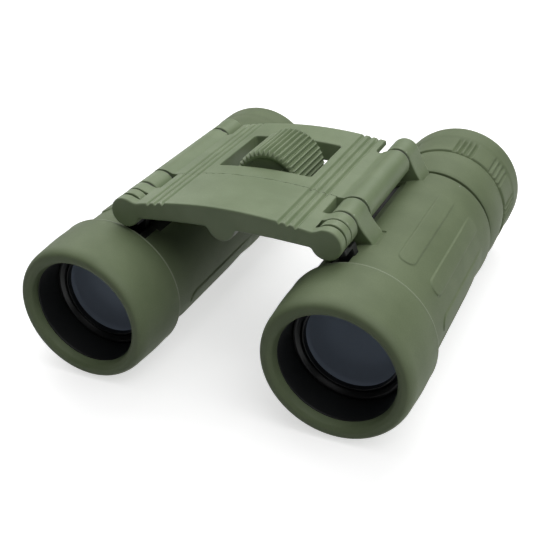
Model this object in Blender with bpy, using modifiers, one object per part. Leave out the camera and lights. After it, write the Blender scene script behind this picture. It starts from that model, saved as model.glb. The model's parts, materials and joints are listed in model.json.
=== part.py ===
"""Compact folding roof-prism binocular: two barrels hinged to a central focusing bridge.

All sizes are in metres. A station is a distance along Y behind the front rims of the
objective hoods, so the eyepieces have the highest stations. Each barrel is built in its
hinge's frame, where the barrel axis is straight below the hinge axis and X points away
from the middle of the object on the left (+X) side. Left and right are those of a person
looking through the eyepieces, towards -Y.
"""

import math

import bmesh
import bpy
from mathutils import Matrix, Vector

MM = 0.001

# Driving dimensions
LENGTH = 98.0 * MM
HOOD_RADIUS = 17.1 * MM
BARREL_SPREAD = 30.5 * MM
HINGE_SPREAD = 24.1 * MM
HINGE_HEIGHT = 20.6 * MM
FOCUS_TRAVEL = 4.2 * MM
GAP = 0.3 * MM
RUNNING_GAP = 0.15 * MM
SIDES = (("left", 1), ("right", -1))

# Rounding of turned pieces
OUTER_STEPS = 32
INNER_STEPS = 24
SMALL_STEPS = 16
MERGE_DISTANCE = 1e-6
SHARP_ANGLE = math.radians(32)

# How far a cutter runs past the faces that it cuts
OVERCUT = 1.0 * MM

# Worked out from the driving dimensions
HINGE_RISE = math.hypot(BARREL_SPREAD - HINGE_SPREAD, HINGE_HEIGHT)
TOE_ANGLE = math.atan2(BARREL_SPREAD - HINGE_SPREAD, HINGE_HEIGHT)

# Hinge line: rod, knuckles and barrel lugs
ROD_RADIUS = 1.0 * MM
ROD_HOLE = ROD_RADIUS + RUNNING_GAP
KNUCKLE_RADIUS = 3.0 * MM
LUG_RADIUS = 2.95 * MM
LUG_ANGLES = (-10, 19)
LUG_KNUCKLE_END = 190
ROD_START, ROD_END = 14.9 * MM, 64.9 * MM
FRONT_LUG = (23.8 * MM, 30.3 * MM)
REAR_LUG = (59.0 * MM, 66.0 * MM)
LUG_PLAY = 0.8 * MM
LUG_FOOT_RADIUS = 14.25 * MM

# Barrel shells
TUBE_OUTER, TUBE_INNER = 15.0 * MM, 13.0 * MM
TUBE_START, TUBE_END = 2.6 * MM, 66.4 * MM
HOOD_END = 15.0 * MM
ARMOUR_RADIUS = 16.2 * MM
SPIGOT_RADIUS = TUBE_INNER - GAP

# Openings along the top of a barrel: how deep they go, and how far above the armour
OPENING_FLOOR = 8.0 * MM
OPENING_TOP = 20.0 * MM

# Bridge
FRONT_BRIDGE = (14.0 * MM, 30.8 * MM)
REAR_BRIDGE = (31.1 * MM, 66.0 * MM)
CREST_HEIGHT = 25.4 * MM
ARCH_RADIUS = 100.0 * MM
NOTCH_INNER = 19.3 * MM
SCREW_HEIGHT = 20.8 * MM
BOSS_RADIUS = 3.3 * MM
UNDERSIDE = ((4.4 * MM, 20.45 * MM), (12.0 * MM, 20.2 * MM), (21.0 * MM, 19.5 * MM), (21.1 * MM, 19.1 * MM))
CREST_STEPS = 4
PAD_HALF_WIDTH = 11.5 * MM
PAD_START, PAD_BOTTOM, PAD_TOP = 15.6 * MM, 17.6 * MM, 21.5 * MM
WINDOW_HALF_WIDTH = 11.3 * MM
WINDOW = (36.0 * MM, 54.8 * MM)
WINDOW_HALF_HEIGHT = 10.0 * MM

# Focusing arm: it hangs from the hinge rod and reaches the objective cell
ARM_EYE = (17.1 * MM, 19.3 * MM)
ARM_SLOT = (16.3 * MM, 19.8 * MM)
ARM_HALF_WIDTH = 2.0 * MM
ARM_SHELF = (3.3 * MM, 4.1 * MM)
ARM_LEG = (20.8 * MM, 22.8 * MM)
ARM_REACH = 11.7 * MM
ARM_SLOT_RADIUS = 3.6 * MM

# Focusing wheel and screw
WHEEL = (37.1 * MM, 52.5 * MM)
WHEEL_RADIUS = 7.7 * MM
WHEEL_RIB_DEPTH = 0.55 * MM
WHEEL_RIBS = 36
SCREW_RADIUS = 1.6 * MM
THREAD_RADIUS = 1.4 * MM
NUT_RADIUS = 2.15 * MM
NUT = (24.0 * MM, 30.4 * MM)
NUT_BORE_START = 17.6 * MM
SCREW_TIP, SCREW_END = 18.5 * MM, 64.5 * MM
CLIP = (63.35 * MM, 63.75 * MM)
CLIP_GROOVE = (63.1 * MM, 64.0 * MM)
CLIP_POCKET_RADIUS, CLIP_POCKET_START = 2.5 * MM, 62.7 * MM
CAP_RADIUS, CAP_START = 2.2 * MM, 64.9 * MM

# Lenses: the station of each one's front and back
OBJECTIVE_RADIUS, OCULAR_RADIUS = 11.0 * MM, 9.0 * MM
OBJECTIVE = (10.5 * MM, 14.8 * MM)
FIELD_LENS = (69.8 * MM, 74.2 * MM)
EYE_LENS = (84.9 * MM, 89.3 * MM)

# Prisms: half the width of the light beam sets their whole shape
BEAM_HALF = 5.5 * MM
PRISM_START = 35.2 * MM
CAGE = (33.7 * MM, 50.7 * MM)
CAGE_DISC = 1.2 * MM
PRISM_TILT = 22.5

OUTLINE_ALONG_Y = Matrix.Rotation(math.pi / 2, 4, "X")
OUTLINE_ALONG_X = Matrix(((0, 0, 1, 0), (1, 0, 0, 0), (0, 1, 0, 0), (0, 0, 0, 1)))


def clear_scene():
    for obj in list(bpy.data.objects):
        bpy.data.objects.remove(obj)


def add_collection(name):
    collection = bpy.data.collections.new(name)
    bpy.context.scene.collection.children.link(collection)
    return collection


def add_empty(name, parent, location, turn=0.0):
    empty = bpy.data.objects.new(name, None)
    empty.empty_display_size = 5 * MM
    empty.parent = parent
    empty.location = location
    empty.rotation_euler.y = turn
    parts.objects.link(empty)
    return empty


def add_object(name, mesh, parent, place):
    obj = bpy.data.objects.new(name, mesh)
    obj.parent = parent
    obj.matrix_basis = place
    parts.objects.link(obj)
    return obj


def evaluated_mesh(obj):
    bpy.context.view_layer.update()
    graph = bpy.context.evaluated_depsgraph_get()
    return bpy.data.meshes.new_from_object(obj.evaluated_get(graph))


def shade_round(mesh):
    mesh.shade_smooth()
    mesh.set_sharp_from_angle(angle=SHARP_ANGLE)


def move_to_cutters(obj):
    parts.objects.unlink(obj)
    cutters.objects.link(obj)
    obj.hide_render = True
    obj.display_type = "WIRE"


def combine(obj, other, operation):
    move_to_cutters(other)
    modifier = obj.modifiers.new(other.name, "BOOLEAN")
    modifier.operation = operation
    modifier.object = other


def cut(obj, *others):
    for other in others:
        combine(obj, other, "DIFFERENCE")


def join(obj, *others):
    for other in others:
        combine(obj, other, "UNION")


def finish(obj, color, roughness, metallic=0.0, transmission=0.0):
    material = bpy.data.materials.new(obj.name)
    material.use_nodes = True
    shader = material.node_tree.nodes["Principled BSDF"]
    shader.inputs["Base Color"].default_value = (*color, 1.0)
    shader.inputs["Roughness"].default_value = roughness
    shader.inputs["Metallic"].default_value = metallic
    shader.inputs["Transmission Weight"].default_value = transmission
    obj.data.materials.clear()
    obj.data.materials.append(material)
    return obj


def green_rubber(obj):
    return finish(obj, (0.162, 0.201, 0.114), 0.75)


def green_plastic(obj):
    return finish(obj, (0.235, 0.295, 0.180), 0.5)


def black_plastic(obj):
    return finish(obj, (0.012, 0.013, 0.014), 0.55)


def steel(obj):
    return finish(obj, (0.55, 0.55, 0.56), 0.3, metallic=1.0)


def brass(obj):
    return finish(obj, (0.60, 0.42, 0.18), 0.3, metallic=1.0)


def glass(obj):
    return finish(obj, (0.85, 0.90, 0.92), 0.03, transmission=1.0)


def turned(name, profile, parent, height=0.0, turn=0.0, steps=OUTER_STEPS, solid=False):
    """A piece turned about a line along Y: (radius, station) points, rear to front outside.

    A ring's profile is a closed loop. A solid piece's runs from the axis to the axis.
    """
    count = len(profile)
    edges = [(i, (i + 1) % count) for i in range(count - 1 if solid else count)]
    mesh = bpy.data.meshes.new(name)
    mesh.from_pydata([(radius, station, 0.0) for radius, station in profile], edges, [])
    place = Matrix.Translation((0, 0, height)) @ Matrix.Rotation(turn, 4, "Y")
    obj = add_object(name, mesh, parent, place)
    screw = obj.modifiers.new("Turn", "SCREW")
    screw.axis = "Y"
    screw.steps = screw.render_steps = steps
    screw.use_merge_vertices = True
    screw.merge_threshold = MERGE_DISTANCE
    obj.data = evaluated_mesh(obj)
    obj.modifiers.clear()
    shade_round(obj.data)
    return obj


def extruded(name, splines, parent, frame, middle, thickness):
    """A flat outline, with any holes as further splines, made thick about its middle."""
    curve = bpy.data.curves.new(name, "CURVE")
    curve.dimensions = "2D"
    curve.fill_mode = "BOTH"
    curve.extrude = thickness / 2
    for points in splines:
        spline = curve.splines.new("POLY")
        spline.points.add(len(points) - 1)
        spline.use_cyclic_u = True
        for spot, (x, y) in zip(spline.points, points):
            spot.co = (x, y, 0, 1)
    outline = bpy.data.objects.new(name + "_outline", curve)
    parts.objects.link(outline)
    mesh = evaluated_mesh(outline)
    bpy.data.objects.remove(outline)
    edited = bmesh.new()
    edited.from_mesh(mesh)
    bmesh.ops.remove_doubles(edited, verts=edited.verts, dist=MERGE_DISTANCE)
    bmesh.ops.recalc_face_normals(edited, faces=edited.faces)
    edited.to_mesh(mesh)
    edited.free()
    shade_round(mesh)
    return add_object(name, mesh, parent, Matrix.Translation(middle) @ frame)


def plate(name, splines, parent, stations):
    """An outline of (x, z) points, extruded from one station to another."""
    start, end = stations
    middle = (0, (start + end) / 2, 0)
    return extruded(name, splines, parent, OUTLINE_ALONG_Y, middle, end - start)


def block(name, low, high, parent):
    mesh = bpy.data.meshes.new(name)
    edited = bmesh.new()
    bmesh.ops.create_cube(edited, size=1.0)
    size = [b - a for a, b in zip(low, high)]
    bmesh.ops.scale(edited, vec=size, verts=edited.verts)
    edited.to_mesh(mesh)
    edited.free()
    middle = [(a + b) / 2 for a, b in zip(low, high)]
    return add_object(name, mesh, parent, Matrix.Translation(middle))


def cylinder(name, radius, stations, parent, x=0.0, height=0.0, steps=INNER_STEPS):
    start, end = stations
    mesh = bpy.data.meshes.new(name)
    edited = bmesh.new()
    bmesh.ops.create_cone(
        edited, cap_ends=True, segments=steps, radius1=radius, radius2=radius, depth=end - start
    )
    edited.to_mesh(mesh)
    edited.free()
    shade_round(mesh)
    place = Matrix.Translation((x, (start + end) / 2, height)) @ OUTLINE_ALONG_Y
    return add_object(name, mesh, parent, place)


def arc(center, radius, first, last, count):
    """Points on a circle, from one angle in degrees to another."""
    angles = [math.radians(first + (last - first) * i / count) for i in range(count + 1)]
    return [(center[0] + radius * math.cos(a), center[1] + radius * math.sin(a)) for a in angles]


def ring_profile(outer, inner, start, end):
    return [(outer, end), (outer, start), (inner, start), (inner, end)]


def lens_profile(radius, front, back, front_sag, back_sag, count=5):
    """Two shallow domes joined by a cylindrical rim."""
    shares = [i / count for i in range(count + 1)]
    rear = [(radius * s, back - back_sag * s * s) for s in shares]
    face = [(radius * s, front + front_sag * s * s) for s in reversed(shares)]
    return rear + face


# Bridge


def bridge_half_outline():
    """The bridge's section on the +X side, from the bottom of the boss to the crest."""
    hinge = (HINGE_SPREAD, HINGE_HEIGHT)
    boss = arc((0, SCREW_HEIGHT), BOSS_RADIUS, -90, -15, 4)
    knuckle = arc(hinge, KNUCKLE_RADIUS, -114, 129, 14)
    arch_width = 20.0 * MM
    arch = []
    for step in range(CREST_STEPS, -1, -1):
        x = arch_width * step / CREST_STEPS
        arch.append((x, CREST_HEIGHT - x * x / (2 * ARCH_RADIUS)))
    return boss + list(UNDERSIDE) + knuckle + arch


def bridge_plate(name, parent, stations):
    half = bridge_half_outline()
    mirrored = [(-x, z) for x, z in reversed(half[1:-1])]
    return plate(name, [half + mirrored], parent, stations)


def corner_notch(name, side, stations, parent):
    """Room for a barrel lug at a bridge corner."""
    low, high = sorted((side * NOTCH_INNER, side * (HINGE_SPREAD + 2 * KNUCKLE_RADIUS)))
    floor, top = HINGE_HEIGHT - 2 * KNUCKLE_RADIUS, HINGE_HEIGHT + 2 * KNUCKLE_RADIUS
    return block(name, (low, stations[0], floor), (high, stations[1], top), parent)


def front_bridge(root):
    """Sliding front half of the bridge, with a thick pad under it round the nut."""
    obj = green_plastic(bridge_plate("front_bridge", root, FRONT_BRIDGE))
    pad_end = FRONT_BRIDGE[1] - GAP
    low, high = (-PAD_HALF_WIDTH, PAD_START, PAD_BOTTOM), (PAD_HALF_WIDTH, pad_end, PAD_TOP)
    join(obj, block("nut_pad", low, high, root))
    for side_name, side in SIDES:
        x = side * HINGE_SPREAD
        notch = (FRONT_LUG[0] - LUG_PLAY, FRONT_BRIDGE[1] + OVERCUT)
        hole = (ROD_START - GAP, FRONT_BRIDGE[1] + OVERCUT)
        cut(
            obj,
            corner_notch(side_name + "_front_notch", side, notch, root),
            cylinder(side_name + "_arm_slot", ARM_SLOT_RADIUS, ARM_SLOT, root, x, HINGE_HEIGHT),
            cylinder(side_name + "_front_rod_hole", ROD_HOLE, hole, root, x, HINGE_HEIGHT, SMALL_STEPS),
        )
    bore = (NUT_BORE_START, FRONT_BRIDGE[1] + OVERCUT)
    cut(obj, cylinder("nut_bore", NUT_RADIUS + GAP, bore, root, 0, SCREW_HEIGHT, SMALL_STEPS))
    return obj


def rear_bridge(root):
    """Fixed rear half of the bridge, with the wheel's window and the long hinge knuckles."""
    obj = green_plastic(bridge_plate("rear_bridge", root, REAR_BRIDGE))
    for side_name, side in SIDES:
        x = side * HINGE_SPREAD
        front = (REAR_BRIDGE[0] - OVERCUT, REAR_BRIDGE[0] + GAP)
        rear = (REAR_LUG[0] - GAP, REAR_BRIDGE[1] + OVERCUT)
        hole = (REAR_BRIDGE[0] - OVERCUT, REAR_BRIDGE[1] + OVERCUT)
        cut(
            obj,
            corner_notch(side_name + "_middle_notch", side, front, root),
            corner_notch(side_name + "_rear_notch", side, rear, root),
            cylinder(side_name + "_rear_rod_hole", ROD_HOLE, hole, root, x, HINGE_HEIGHT, SMALL_STEPS),
        )
    low = (-WINDOW_HALF_WIDTH, WINDOW[0], HINGE_HEIGHT - WINDOW_HALF_HEIGHT)
    high = (WINDOW_HALF_WIDTH, WINDOW[1], HINGE_HEIGHT + WINDOW_HALF_HEIGHT)
    through = (REAR_BRIDGE[0] - OVERCUT, REAR_BRIDGE[1] + OVERCUT)
    pocket = (CLIP_POCKET_START, REAR_BRIDGE[1] + OVERCUT)
    cut(
        obj,
        block("wheel_window", low, high, root),
        cylinder("screw_bore", SCREW_RADIUS + RUNNING_GAP, through, root, 0, SCREW_HEIGHT, SMALL_STEPS),
        cylinder("clip_pocket", CLIP_POCKET_RADIUS, pocket, root, 0, SCREW_HEIGHT, SMALL_STEPS),
    )
    return obj


def hinge_rod(root, side_name, side):
    name = side_name + "_hinge_rod"
    x = side * HINGE_SPREAD
    return steel(cylinder(name, ROD_RADIUS, (ROD_START, ROD_END), root, x, HINGE_HEIGHT, SMALL_STEPS))


def screw_cap(root):
    """Plug that closes the screw's bore at the back of the bridge."""
    stations = (CAP_START, REAR_BRIDGE[1])
    return green_plastic(cylinder("screw_cap", CAP_RADIUS, stations, root, 0, SCREW_HEIGHT, SMALL_STEPS))


# Focusing wheel


def wheel_outline():
    """Straight ribs round the wheel, each with a flat crest and sloping sides."""
    pitch = math.tau / WHEEL_RIBS
    root_radius = WHEEL_RADIUS - WHEEL_RIB_DEPTH
    foot, crest = 0.32, 0.17
    corners = ((-foot, root_radius), (-crest, WHEEL_RADIUS), (crest, WHEEL_RADIUS), (foot, root_radius))
    points = []
    for rib in range(WHEEL_RIBS):
        for share, radius in corners:
            angle = (rib + share) * pitch
            points.append((radius * math.cos(angle), radius * math.sin(angle)))
    return points


def focus_wheel(axle):
    hole = arc((0, 0), SCREW_RADIUS + GAP, 0, 360 - 360 / SMALL_STEPS, SMALL_STEPS - 1)
    obj = green_plastic(plate("focus_wheel", [wheel_outline(), hole], axle, WHEEL))
    dish_radius, dish_depth = 6.2 * MM, 1.2 * MM
    dish = (WHEEL[0] - OVERCUT, WHEEL[0] + dish_depth)
    cut(obj, cylinder("wheel_dish", dish_radius, dish, axle))
    return obj


def focus_screw(axle):
    """Threaded in front, plain through the wheel, with a groove for its clip at the back."""
    plain_start, chamfer, groove_radius = 30.9 * MM, 0.4 * MM, 0.8 * MM
    groove_start, groove_end = CLIP_GROOVE
    profile = [
        (0, SCREW_END),
        (SCREW_RADIUS, SCREW_END),
        (SCREW_RADIUS, groove_end),
        (groove_radius, groove_end),
        (groove_radius, groove_start),
        (SCREW_RADIUS, groove_start),
        (SCREW_RADIUS, plain_start),
        (THREAD_RADIUS, plain_start),
        (THREAD_RADIUS, SCREW_TIP + chamfer),
        (THREAD_RADIUS - chamfer, SCREW_TIP),
        (0, SCREW_TIP),
    ]
    return steel(turned("focus_screw", profile, axle, steps=SMALL_STEPS, solid=True))


def focus_nut(root):
    """Threaded insert in the front bridge."""
    profile = ring_profile(NUT_RADIUS, THREAD_RADIUS + RUNNING_GAP, *NUT)
    return brass(turned("focus_nut", profile, root, SCREW_HEIGHT, steps=SMALL_STEPS))


def thrust_washers(axle):
    inner, front_outer, rear_outer = SCREW_RADIUS + GAP, 3.4 * MM, 3.2 * MM
    front = ring_profile(front_outer, inner, WINDOW[0] + GAP, WHEEL[0] - GAP)
    rear = ring_profile(rear_outer, inner, WHEEL[1] + GAP, WINDOW[1] - GAP)
    black_plastic(turned("front_thrust_washer", front, axle, steps=SMALL_STEPS))
    black_plastic(turned("rear_thrust_washer", rear, axle, steps=SMALL_STEPS))


def screw_clip(axle):
    """Open ring that holds the screw in the bridge."""
    outer, inner, mouth, steps = 2.2 * MM, 1.1 * MM, 30, 12
    ring = arc((0, 0), outer, mouth, 360 - mouth, steps) + arc((0, 0), inner, 360 - mouth, mouth, steps)
    return steel(plate("screw_clip", [ring], axle, CLIP))


# Barrel


def lug_outline(side):
    """Knuckle and the strap that runs from it, tangent and outwards, down to the tube."""
    inner_angle, outer_angle = LUG_ANGLES
    knuckle = arc((0, 0), LUG_RADIUS, outer_angle, LUG_KNUCKLE_END, 9)
    foot = []
    for angle in (inner_angle, (inner_angle + outer_angle) / 2, outer_angle):
        a = math.radians(angle)
        foot.append((LUG_FOOT_RADIUS * math.sin(a), LUG_FOOT_RADIUS * math.cos(a) - HINGE_RISE))
    a = math.radians(outer_angle)
    skin = (ARMOUR_RADIUS * math.sin(a), ARMOUR_RADIUS * math.cos(a) - HINGE_RISE)
    return [(side * x, z) for x, z in knuckle + foot + [skin]]


def arm_slot(name, side_name, hinge, start):
    """Opening in the barrel's top that the focusing arm's leg slides along."""
    room = 0.5 * MM
    half = ARM_HALF_WIDTH + room
    low = (-half, start, -HINGE_RISE + OPENING_FLOOR)
    high = (half, ARM_LEG[1] + room, -HINGE_RISE + OPENING_TOP)
    return block(side_name + name, low, high, hinge)


def barrel_tube(side_name, side, hinge):
    name = side_name + "_barrel_tube"
    profile = ring_profile(TUBE_OUTER, TUBE_INNER, TUBE_START, TUBE_END)
    obj = turned(name, profile, hinge, -HINGE_RISE, side * TOE_ANGLE)
    for lug_name, stations in (("_front_lug", FRONT_LUG), ("_rear_lug", REAR_LUG)):
        join(obj, plate(side_name + lug_name, [lug_outline(side)], hinge, stations))
    rod_play = 0.4 * MM
    front_hole = (FRONT_LUG[0] - OVERCUT, FRONT_LUG[1] + OVERCUT)
    rear_hole = (REAR_LUG[0] - OVERCUT, ROD_END + rod_play)
    cut(
        obj,
        cylinder(side_name + "_front_lug_hole", ROD_HOLE, front_hole, hinge, steps=SMALL_STEPS),
        cylinder(side_name + "_rear_lug_hole", ROD_HOLE, rear_hole, hinge, steps=SMALL_STEPS),
        arm_slot("_tube_slot", side_name, hinge, ARM_LEG[0] - FOCUS_TRAVEL - rod_play),
    )
    return green_plastic(obj)


def lug_clearance(name, side_name, side, hinge, stations):
    """Cut-out in the rubber where a lug comes through."""
    inner, outer = 3.2 * MM, 5.8 * MM
    x_low, x_high = sorted((side * -inner, side * outer))
    low = (x_low, stations[0] - LUG_PLAY, -HINGE_RISE + OPENING_FLOOR)
    high = (x_high, stations[1] + LUG_PLAY, -HINGE_RISE + OPENING_TOP)
    return block(side_name + name, low, high, hinge)


def armour(side_name, side, hinge):
    """Rubber sleeve between the hood and the eyepiece."""
    profile = ring_profile(ARMOUR_RADIUS, TUBE_OUTER + GAP, HOOD_END + GAP, TUBE_END)
    obj = turned(side_name + "_armour", profile, hinge, -HINGE_RISE, side * TOE_ANGLE)
    cut(
        obj,
        arm_slot("_armour_slot", side_name, hinge, HOOD_END),
        lug_clearance("_front_clearance", side_name, side, hinge, FRONT_LUG),
        lug_clearance("_rear_clearance", side_name, side, hinge, REAR_LUG),
    )
    return green_rubber(obj)


def objective_hood(side_name, side, hinge):
    """Rubber bumper round the front of the barrel, with a flat rim and a rounded lip."""
    lip_start, lip_steps, seat = 3.2 * MM, 4, 2.3 * MM
    rim_outer, rim_inner, throat = 15.2 * MM, 14.2 * MM, 13.3 * MM
    shoulder, taper_start = 16.7 * MM, 9.0 * MM
    profile = [(HOOD_RADIUS, HOOD_END), (HOOD_RADIUS, taper_start)]
    for step in range(lip_steps + 1):
        turn = math.radians(90 * step / lip_steps)
        radius = rim_outer + (shoulder - rim_outer) * math.cos(turn)
        profile.append((radius, lip_start * (1 - math.sin(turn))))
    profile += [
        (rim_inner, 0),
        (throat, 0.7 * MM),
        (TUBE_INNER, 1.8 * MM),
        (TUBE_INNER, seat),
        (TUBE_OUTER + GAP, seat),
        (TUBE_OUTER + GAP, HOOD_END),
    ]
    obj = turned(side_name + "_objective_hood", profile, hinge, -HINGE_RISE, side * TOE_ANGLE)
    return green_rubber(obj)


def objective_cell(side_name, hinge):
    """Sliding tube that carries the objective lens, notched at the top for the arm."""
    front, shoulder, behind, end = 9.5 * MM, 15.1 * MM, 17.0 * MM, 24.0 * MM
    mouth, bore, stop = 12.0 * MM, 11.3 * MM, 10.2 * MM
    profile = [
        (SPIGOT_RADIUS, end),
        (SPIGOT_RADIUS, front),
        (mouth, front),
        (bore, front + 0.8 * MM),
        (bore, shoulder),
        (stop, shoulder),
        (stop, behind),
        (bore, behind),
        (bore, end),
    ]
    obj = turned(side_name + "_objective_cell", profile, hinge, -HINGE_RISE, steps=INNER_STEPS)
    half = ARM_HALF_WIDTH + GAP
    low = (-half, ARM_LEG[0] - GAP, -HINGE_RISE + OPENING_FLOOR)
    high = (half, end + OVERCUT, -HINGE_RISE + TUBE_OUTER)
    cut(obj, block(side_name + "_arm_notch", low, high, hinge))
    return black_plastic(obj)


def objective_lens(side_name, hinge):
    profile = lens_profile(OBJECTIVE_RADIUS, OBJECTIVE[0], OBJECTIVE[1], 1.3 * MM, 0.3 * MM)
    obj = turned(side_name + "_objective_lens", profile, hinge, -HINGE_RISE, steps=INNER_STEPS, solid=True)
    return glass(obj)


def lens_ring(side_name, hinge):
    """Ring screwed in front of the objective lens, slightly coned inside."""
    front, back, front_inner, back_inner = 10.3 * MM, 11.4 * MM, 10.6 * MM, 10.4 * MM
    profile = [(OBJECTIVE_RADIUS, back), (OBJECTIVE_RADIUS, front), (front_inner, front), (back_inner, back)]
    obj = turned(side_name + "_lens_ring", profile, hinge, -HINGE_RISE, steps=INNER_STEPS)
    return black_plastic(obj)


def focus_arm(side_name, hinge):
    """Bent arm: an eye on the hinge rod, a shelf behind it and a leg into the barrel."""
    (front, back), (leg_front, leg_back) = ARM_EYE, ARM_LEG
    shelf_top, shelf_bottom = -ARM_SHELF[0], -ARM_SHELF[1]
    strap_top, leg_end = -1.4 * MM, ARM_REACH - HINGE_RISE
    eye_radius, eye_proud = 2.6 * MM, 0.05 * MM
    outline = [
        (front, strap_top),
        (front, shelf_bottom),
        (leg_front, shelf_bottom),
        (leg_front, leg_end),
        (leg_back, leg_end),
        (leg_back, shelf_top),
        (back, shelf_top),
        (back, strap_top),
    ]
    name = side_name + "_focus_arm"
    obj = extruded(name, [outline], hinge, OUTLINE_ALONG_X, (0, 0, 0), 2 * ARM_HALF_WIDTH)
    eye = (front - eye_proud, back + eye_proud)
    hole = (front - OVERCUT, back + OVERCUT)
    join(obj, cylinder(side_name + "_arm_eye", eye_radius, eye, hinge, steps=SMALL_STEPS))
    cut(obj, cylinder(side_name + "_arm_hole", ROD_HOLE, hole, hinge, steps=SMALL_STEPS))
    return black_plastic(obj)


def prism_cage(side_name, hinge):
    """Two side walls and two end discs that hold the prism pair."""
    name = side_name + "_prism_cage"
    obj = cylinder(name, SPIGOT_RADIUS, CAGE, hinge, height=-HINGE_RISE, steps=INNER_STEPS)
    half, light_radius = BEAM_HALF + GAP, 5.0 * MM
    low = (-half, CAGE[0] + CAGE_DISC, -HINGE_RISE - TUBE_INNER)
    high = (half, CAGE[1] - CAGE_DISC, -HINGE_RISE + TUBE_INNER)
    light = (CAGE[0] - OVERCUT, CAGE[1] + OVERCUT)
    cut(
        obj,
        block(side_name + "_prism_room", low, high, hinge),
        cylinder(side_name + "_light_hole", light_radius, light, hinge, height=-HINGE_RISE),
    )
    return black_plastic(obj)


def prism(name, outline, hinge):
    """An outline of (station, height) points in beam half-widths, as wide as the beam."""
    points = [(BEAM_HALF * u, BEAM_HALF * v) for u, v in outline]
    middle = (0, PRISM_START, -HINGE_RISE)
    return extruded(name, [points], hinge, OUTLINE_ALONG_X, middle, 2 * BEAM_HALF)


def half_penta_prism(side_name, hinge):
    """First prism: the beam reflects off the sloping back, then the bottom, and leaves squarely."""
    back_end = 2.45
    fall = math.tan(math.radians(PRISM_TILT))
    outline = [(0, 1), (0, -1), (back_end, -1 - fall * back_end), (back_end, 1 - back_end)]
    return glass(prism(side_name + "_half_penta_prism", outline, hinge))


def roof_prism(side_name, hinge):
    """Second prism: a sloping front across an air gap, and a right-angled roof on top."""
    tilt = math.radians(PRISM_TILT)
    air = 1 + math.sqrt(2) * GAP / BEAM_HALF
    exit_face, exit_top, ridge_start, corner = 2.545, 1.75, 1.262, 2.0
    ridge_end = ridge_start + math.tan(tilt) * corner
    outline = [
        (0, air),
        (exit_face, air - exit_face),
        (exit_face, exit_top),
        (corner, ridge_end),
        (0, ridge_start),
    ]
    obj = prism(side_name + "_roof_prism", outline, hinge)
    ridge_point = Vector((0, BEAM_HALF * ridge_start, 0))
    up = Vector((-math.sin(tilt), math.cos(tilt), 0))
    edited = bmesh.new()
    edited.from_mesh(obj.data)
    for sideways in (Vector((0, 0, 1)), Vector((0, 0, -1))):
        geometry = edited.verts[:] + edited.edges[:] + edited.faces[:]
        bmesh.ops.bisect_plane(
            edited, geom=geometry, plane_co=ridge_point, plane_no=up + sideways, clear_outer=True
        )
        bmesh.ops.holes_fill(edited, edges=edited.edges)
    bmesh.ops.recalc_face_normals(edited, faces=edited.faces)
    edited.to_mesh(obj.data)
    edited.free()
    return glass(obj)


def eyepiece_housing(side_name, side, hinge):
    """Spigot in the barrel, a smooth bulging collar outside, and a neck for the eyecup."""
    bore, neck, start, neck_end = 10.6 * MM, 12.6 * MM, 60.5 * MM, 87.0 * MM
    collar_start, collar_end = 66.95 * MM, 79.5 * MM
    profile = [
        (neck, neck_end),
        (neck, collar_end),
        (15.3 * MM, collar_end),
        (15.8 * MM, 78.5 * MM),
        (16.1 * MM, 73.0 * MM),
        (15.9 * MM, 68.2 * MM),
        (15.4 * MM, collar_start),
        (SPIGOT_RADIUS, collar_start),
        (SPIGOT_RADIUS, start),
        (bore, start),
        (bore, neck_end),
    ]
    obj = turned(side_name + "_eyepiece_housing", profile, hinge, -HINGE_RISE, side * TOE_ANGLE)
    return green_plastic(obj)


def field_stop(side_name, hinge):
    """Thin ring in the housing that frames the view."""
    outer, inner, start, end = 10.3 * MM, 6.0 * MM, 62.0 * MM, 63.0 * MM
    profile = ring_profile(outer, inner, start, end)
    return black_plastic(turned(side_name + "_field_stop", profile, hinge, -HINGE_RISE, steps=INNER_STEPS))


def ocular_cell(side_name, hinge):
    """Tube that carries the eyepiece lenses."""
    outer, bore, lip = 10.3 * MM, OCULAR_RADIUS + GAP, 8.2 * MM
    start, lip_end, end = 68.5 * MM, 69.5 * MM, 91.0 * MM
    profile = [(outer, end), (outer, start), (lip, start), (lip, lip_end), (bore, lip_end), (bore, end)]
    return black_plastic(turned(side_name + "_ocular_cell", profile, hinge, -HINGE_RISE, steps=INNER_STEPS))


def ocular_lenses(side_name, hinge):
    """The field lens bulges towards the eye, and the eye lens away from it."""
    field = lens_profile(OCULAR_RADIUS, *FIELD_LENS, 0.3 * MM, 1.6 * MM)
    eye = lens_profile(OCULAR_RADIUS, *EYE_LENS, 1.4 * MM, 0.5 * MM)
    for name, profile in (("_field_lens", field), ("_eye_lens", eye)):
        glass(turned(side_name + name, profile, hinge, -HINGE_RISE, steps=INNER_STEPS, solid=True))


def ocular_rings(side_name, hinge):
    """Spacer between the two lenses, and the ring that keeps the eye lens in."""
    spacer_inner, keeper_inner, keeper_end = 8.2 * MM, 8.0 * MM, 91.0 * MM
    spacer = ring_profile(OCULAR_RADIUS, spacer_inner, FIELD_LENS[1] + GAP, EYE_LENS[0] - GAP)
    keeper = ring_profile(OCULAR_RADIUS, keeper_inner, EYE_LENS[1] + GAP, keeper_end)
    for name, profile in (("_lens_spacer", spacer), ("_eye_lens_ring", keeper)):
        black_plastic(turned(side_name + name, profile, hinge, -HINGE_RISE, steps=INNER_STEPS))


def eyecup_ring(side_name, side, hinge):
    """Hard ring that the eyecup is stretched over: the left one turns to set the dioptre."""
    names = {"left": "left_dioptre_ring", "right": "right_eyecup_ring"}
    outer, inner, start, end = 14.6 * MM, 12.9 * MM, 80.1 * MM, 89.0 * MM
    profile = ring_profile(outer, inner, start, end)
    return black_plastic(turned(names[side_name], profile, hinge, -HINGE_RISE, side * TOE_ANGLE))


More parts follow.
